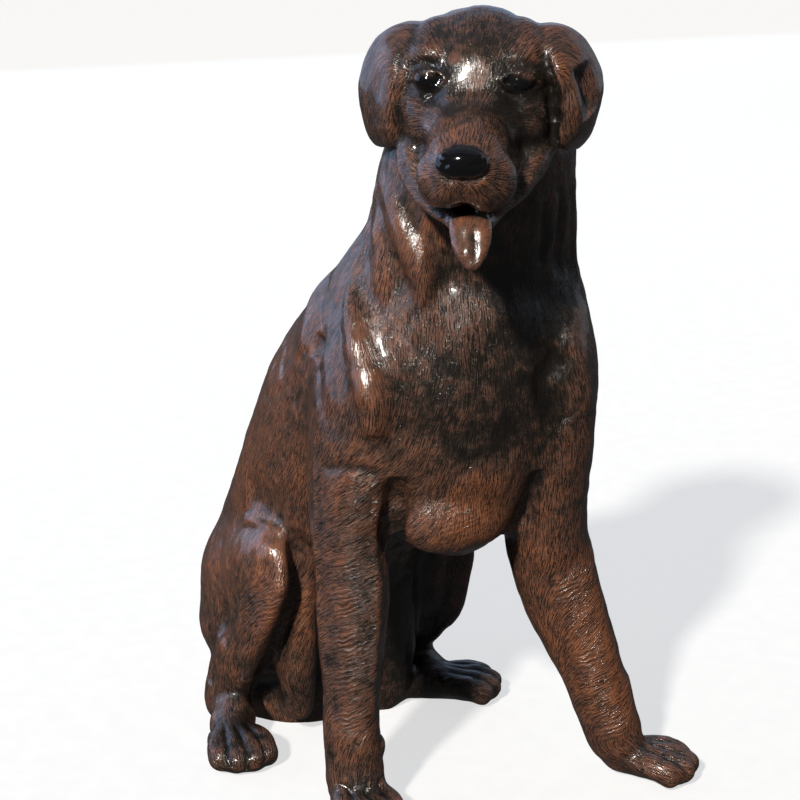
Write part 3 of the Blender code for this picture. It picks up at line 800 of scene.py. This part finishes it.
def black_glaze_and_mouth_shade(points):
    """Where the skin is plain polished black: the nose and the eyes, and the mouth's opening, whose black is
    painted shade.
    """
    head = in_head(points)
    glaze_and_mouth_shade = within(head, (-1, -163, -11), (25, 20, 15), 0.12)
    for x in EYES_ACROSS:
        glaze_and_mouth_shade = np.maximum(glaze_and_mouth_shade, within(head, (x, -57, 22), (13, 9, 8), 0.5))
    # The mouth's opening is painted black as shade.
    return np.maximum(glaze_and_mouth_shade, within(head, (4, -112, -66), (24, 30, 9), 0.3))


def give_attribute(mesh, name, kind, values):
    """Leaves one value, or one vector, on every vertex."""
    layer = mesh.attributes.new(name, kind, "POINT")
    layer.data.foreach_set("vector" if kind == "FLOAT_VECTOR" else "value", values.ravel())


def note_finish(mesh):
    """Leaves on the skin what its finish follows: the coat's way, hollows, bare places and painted shade,
    polished black with the painted shade of the mouth's opening, ripples and how deep the strokes are chased."""
    points, normals = vertices_of(mesh)
    edges = edges_of(mesh)
    give_attribute(mesh, "coat_flow", "FLOAT_VECTOR", coat_flow(points, normals))
    narrow = ((eased(points, edges, 6) - points) * normals).sum(axis=1)
    wide = ((eased(points, edges, 60) - points) * normals).sum(axis=1)
    hollow = eased((narrow / NARROW_HOLLOW + wide / WIDE_HOLLOW)[:, None], edges, 2)
    give_attribute(mesh, "hollow", "FLOAT", np.clip(hollow, -1, 1))
    # Bare patina above 0; below 0 darker patina, and in places painted shade where the dog's own shadow
    # falls.
    bare_and_painted_shade = patches_at(points, HEAD_BARE_AND_SHADE_PATCHES, HEAD) + patches_at(points, BODY_BARE_AND_SHADE_PATCHES)
    give_attribute(mesh, "bare_and_painted_shade", "FLOAT", np.clip(bare_and_painted_shade, -1, 1))
    give_attribute(mesh, "glaze_and_mouth_shade", "FLOAT", black_glaze_and_mouth_shade(points))
    chasing = 1 - patches_at(points, HEAD_SMOOTH, HEAD) - patches_at(points, BODY_SMOOTH)
    rippled = np.clip(patches_at(points, BODY_RIPPLES), 0, 1)
    give_attribute(mesh, "rippled", "FLOAT", rippled)
    give_attribute(mesh, "chasing", "FLOAT", np.clip(chasing, 0.25, 1) + 3.2 * rippled)


# Materials.


def add_node(tree, kind, inputs=None, **settings):
    """A node with its settings. An input is given as a socket to link from or as its plain value."""
    node = tree.nodes.new(kind)
    for name, value in settings.items():
        setattr(node, name, value)
    for key, value in (inputs or {}).items():
        if isinstance(value, bpy.types.NodeSocket):
            tree.links.new(value, node.inputs[key])
        else:
            node.inputs[key].default_value = value
    return node


def blend(tree, share, low, high):
    """Low where the share is 0 and high where it is 1, for colours."""
    node = add_node(tree, "ShaderNodeMix", {"Factor": share}, data_type="RGBA")
    for socket, value in ((node.inputs[6], low), (node.inputs[7], high)):
        if isinstance(value, bpy.types.NodeSocket):
            tree.links.new(value, socket)
        else:
            socket.default_value = value
    return node.outputs[2]


def calculate(tree, operation, *values):
    """The result of one operation on sockets or plain values, in the operation's order."""
    return add_node(tree, "ShaderNodeMath", dict(enumerate(values)), operation=operation).outputs[0]


def noise(tree, place, scale, detail, roughness=0.5):
    """Cloudy values about 0.5, of so many cells per metre and so many finer layers."""
    inputs = {"Vector": place, "Scale": scale, "Detail": detail, "Roughness": roughness}
    return add_node(tree, "ShaderNodeTexNoise", inputs).outputs[0]


def noted(tree, name, output="Fac"):
    """A value that note_finish left on the skin."""
    return add_node(tree, "ShaderNodeAttribute", attribute_name=name).outputs[output]


def from_to(tree, value, low, high, new_low=0.0, new_high=1.0):
    """The value's way from low to high, eased, as a value from new_low to new_high."""
    inputs = {"Value": value, "From Min": low, "From Max": high, "To Min": new_low, "To Max": new_high}
    return add_node(tree, "ShaderNodeMapRange", inputs, interpolation_type="SMOOTHSTEP").outputs[0]


def make_strokes_group():
    """Short strokes chased along the coat: noise averaged over places a few mm back and on along the flow."""
    group = bpy.data.node_groups.new("chased strokes", "ShaderNodeTree")
    group.interface.new_socket("Place", in_out="INPUT", socket_type="NodeSocketVector")
    group.interface.new_socket("Flow", in_out="INPUT", socket_type="NodeSocketVector")
    group.interface.new_socket("Strokes per metre", in_out="INPUT", socket_type="NodeSocketFloat")
    group.interface.new_socket("Height", in_out="OUTPUT", socket_type="NodeSocketFloat")
    given = group.nodes.new("NodeGroupInput")
    total = None
    steps = (-3.2, -2.4, -1.6, -0.8, 0, 0.8, 1.6, 2.4, 3.2)
    for step in steps:
        share = (step * MM,) * 3
        place = add_node(
            group, "ShaderNodeVectorMath", {0: given.outputs["Flow"], 1: share, 2: given.outputs["Place"]},
            operation="MULTIPLY_ADD",
        )
        value = noise(group, place.outputs[0], given.outputs["Strokes per metre"], 0.0)
        total = value if total is None else calculate(group, "ADD", total, value)
    height = from_to(group, calculate(group, "DIVIDE", total, float(len(steps))), 0.42, 0.58)
    given_out = group.nodes.new("NodeGroupOutput")
    group.links.new(height, given_out.inputs["Height"])
    return group


def chased_height(tree, place, rippled):
    """Strokes along the coat and, where the skin is rippled, a zigzag from 0 to 1 and back instead.

    The zigzag is that of 380 * (place . across) + 3 * noise.
    """
    flow = noted(tree, "coat_flow", "Vector")
    strokes = add_node(
        tree, "ShaderNodeGroup", {"Place": place, "Flow": flow, "Strokes per metre": 1050.0},
        node_tree=make_strokes_group(),
    ).outputs["Height"]
    across = add_node(
        tree, "ShaderNodeVectorMath", {0: place, 1: (-0.19, 0.32, 0.928)}, operation="DOT_PRODUCT",
    ).outputs["Value"]
    wobble = calculate(tree, "MULTIPLY", noise(tree, place, 110.0, 1.0), 3.0)
    zigzag = calculate(tree, "PINGPONG", calculate(tree, "MULTIPLY_ADD", across, 380.0, wobble), 1.0)
    return calculate(tree, "MULTIPLY_ADD", calculate(tree, "SUBTRACT", zigzag, strokes), rippled, strokes)


def patina_tones(tree, place):
    """Black, umber and rust by how much brown covers a place: more where it is bare, less in hollows and less
    where shade is painted.
    """
    # Painted shade lowers the cover as darker patina does.
    cover = calculate(tree, "MULTIPLY_ADD", noted(tree, "bare_and_painted_shade"), 0.42, -0.57)
    cover = calculate(tree, "MULTIPLY_ADD", noted(tree, "hollow"), -0.2, cover)
    cover = calculate(tree, "MULTIPLY_ADD", noise(tree, place, 15.0, 3.0, 0.6), 0.95, cover)
    cover = calculate(tree, "MULTIPLY_ADD", noise(tree, place, 90.0, 3.0, 0.7), 1.25, cover)
    tones = add_node(tree, "ShaderNodeValToRGB", {"Fac": cover})
    stops = tones.color_ramp.elements
    stops.new(0.25).color = (0.04, 0.027, 0.02, 1)
    stops.new(0.48).color = (0.125, 0.064, 0.044, 1)
    stops.new(0.7).color = (0.2, 0.086, 0.05, 1)
    stops[0].color = (0.012, 0.0095, 0.0075, 1)
    stops[-1].color = (0.3, 0.115, 0.055, 1)
    return tones.outputs[0]


def make_patina():
    """Rust brown rubbed over black: black stays in the strokes, the hollows and whole patches, some of which
    are painted shade.
    """
    material = bpy.data.materials.new("patinated aluminium")
    material.use_nodes = True
    tree = material.node_tree
    shader = tree.nodes["Principled BSDF"]
    place = add_node(tree, "ShaderNodeTexCoord").outputs["Object"]
    glaze_and_mouth_shade = noted(tree, "glaze_and_mouth_shade")
    chasing = noted(tree, "chasing")
    rippled = noted(tree, "rippled")
    specks = noise(tree, place, 420.0, 1.0)
    height = chased_height(tree, place, rippled)

    worn = from_to(tree, calculate(tree, "MULTIPLY_ADD", specks, 0.5, height), 0.5, 1.15)
    worn = calculate(tree, "MULTIPLY", worn, from_to(tree, chasing, 0.0, 1.0, 0.2, 0.85))
    worn = calculate(tree, "MULTIPLY", worn, from_to(tree, rippled, 0.0, 1.0, 1.0, 0.5))
    colour = blend(tree, worn, patina_tones(tree, place), (0.009, 0.0065, 0.005, 1))
    # Polished black on the nose and eyes, and black painted as shade in the mouth's opening.
    colour = blend(tree, glaze_and_mouth_shade, colour, (0.004, 0.004, 0.005, 1))
    tree.links.new(colour, shader.inputs["Base Color"])

    rough = from_to(tree, specks, 0.3, 0.7, 0.14, 0.26)
    rough = calculate(tree, "ADD", rough, from_to(tree, chasing, 0.3, 1.0, -0.02, 0.0))
    rough = calculate(tree, "MULTIPLY_ADD", glaze_and_mouth_shade, -0.3, rough)
    tree.links.new(rough, shader.inputs["Roughness"])

    relief = calculate(tree, "MULTIPLY_ADD", specks, from_to(tree, rippled, 0.0, 1.0, 0.5, 0.15), height)
    unglazed = calculate(tree, "SUBTRACT", 1.0, glaze_and_mouth_shade)
    relief = calculate(tree, "MULTIPLY", relief, calculate(tree, "MULTIPLY", chasing, unglazed))
    bump = add_node(tree, "ShaderNodeBump", {"Strength": 1.0, "Distance": 0.0004, "Height": relief})
    tree.links.new(bump.outputs[0], shader.inputs["Normal"])
    tree.links.new(from_to(tree, chasing, 0.2, 1.0, 1.0, 0.5), shader.inputs["Coat Weight"])
    shader.inputs["Coat Roughness"].default_value = 0.1
    shader.inputs["Specular IOR Level"].default_value = 0.6
    return material


def make_floor_material():
    """Pale and almost even, with a little light of its own."""
    material = bpy.data.materials.new("pale floor")
    material.use_nodes = True
    tree = material.node_tree
    shader = tree.nodes["Principled BSDF"]
    place = add_node(tree, "ShaderNodeTexCoord").outputs["Object"]
    grain = noise(tree, place, 40.0, 2.0)
    colour = blend(tree, from_to(tree, grain, 0.3, 0.7), (0.38, 0.38, 0.38, 1), (0.41, 0.41, 0.4, 1))
    tree.links.new(colour, shader.inputs["Base Color"])
    shader.inputs["Emission Color"].default_value = (1, 1, 1, 1)
    shader.inputs["Emission Strength"].default_value = 0.66
    shader.inputs["Roughness"].default_value = 0.9
    shader.inputs["Specular IOR Level"].default_value = 0.1
    return material


# The scene.


def add_object(name, data):
    ob = bpy.data.objects.new(name, data)
    bpy.context.scene.collection.objects.link(ob)
    return ob


def add_dog():
    mesh = model_dog()
    note_finish(mesh)
    points, _ = vertices_of(mesh)
    points[:, :2] -= DRAWN_MIDDLE
    move_vertices(mesh, points * MM)
    mesh.name = "dog casting"
    mesh.materials.clear()
    mesh.materials.append(make_patina())
    mesh.polygons.foreach_set("use_smooth", [True] * len(mesh.polygons))
    dog = add_object("dog_casting", mesh)
    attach(dog, "root")
    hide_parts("dog")


def add_floor():
    corners = 30.0 * np.array([(-1, -1, 0), (1, -1, 0), (1, 1, 0), (-1, 1, 0)])
    mesh = write_mesh("floor", corners, [(0, 1, 2, 3)])
    mesh.materials.append(make_floor_material())
    floor = add_object("floor", mesh)
    floor.visible_glossy = False
    floor.visible_diffuse = False


def aimed(way):
    """The turn that points a light along the way."""
    return (math.atan2(math.hypot(way[0], way[1]), -way[2]), 0, math.atan2(-way[0], way[1]))


def add_panel(name, place, width, height, power, colour):
    """A rectangular light that faces the dog."""
    lamp = bpy.data.lights.new(name, "AREA")
    lamp.shape = "RECTANGLE"
    lamp.size = width
    lamp.size_y = height
    lamp.energy = power
    lamp.color = colour
    panel = add_object(name, lamp)
    panel.location = place
    panel.rotation_euler = aimed(np.array((0, 0, 0.45)) - place)


def add_lights():
    lamp = bpy.data.lights.new("key", "SUN")
    lamp.energy = 3.7
    lamp.angle = math.radians(4)
    lamp.color = (1.0, 0.96, 0.9)
    add_object("key", lamp).rotation_euler = aimed((0.652, 0.497, -0.573))
    add_panel("sky", (0.6, 0.8, 3.4), 4.5, 4.5, 8, (0.5, 0.66, 1.0))
    add_panel("side", (-2.9, 2.5, 1.6), 5.0, 3.0, 50, (0.5, 0.66, 1.0))
    add_panel("back", (0.8, 5.0, 1.7), 8.0, 3.2, 45, (0.5, 0.68, 1.0))
    add_panel("fill", (3.6, 0.6, 1.5), 3.6, 2.4, 9, (0.72, 0.84, 1.0))


def add_world():
    """White to the eye, but of little light: the wall behind the floor."""
    world = bpy.data.worlds.new("studio")
    world.use_nodes = True
    tree = world.node_tree
    seen = add_node(tree, "ShaderNodeLightPath").outputs["Is Camera Ray"]
    light = tree.nodes["Background"]
    light.inputs["Color"].default_value = (1, 1, 1, 1)
    tree.links.new(from_to(tree, seen, 0.0, 1.0, 0.05, 1.0), light.inputs["Strength"])
    bpy.context.scene.world = world


def add_camera():
    lens = bpy.data.cameras.new("camera")
    lens.lens = 94.05
    lens.sensor_width = 36
    lens.clip_end = 100
    camera = add_object("camera", lens)
    camera.location = (-1.04405, -1.78535, 1.0)
    camera.rotation_euler = (math.radians(73.3), 0, math.radians(-30))
    bpy.context.scene.camera = camera


def main():
    add_camera()
    add_floor()
    add_lights()
    add_world()
    add_dog()
    bpy.context.scene.view_settings.view_transform = "Standard"


main()
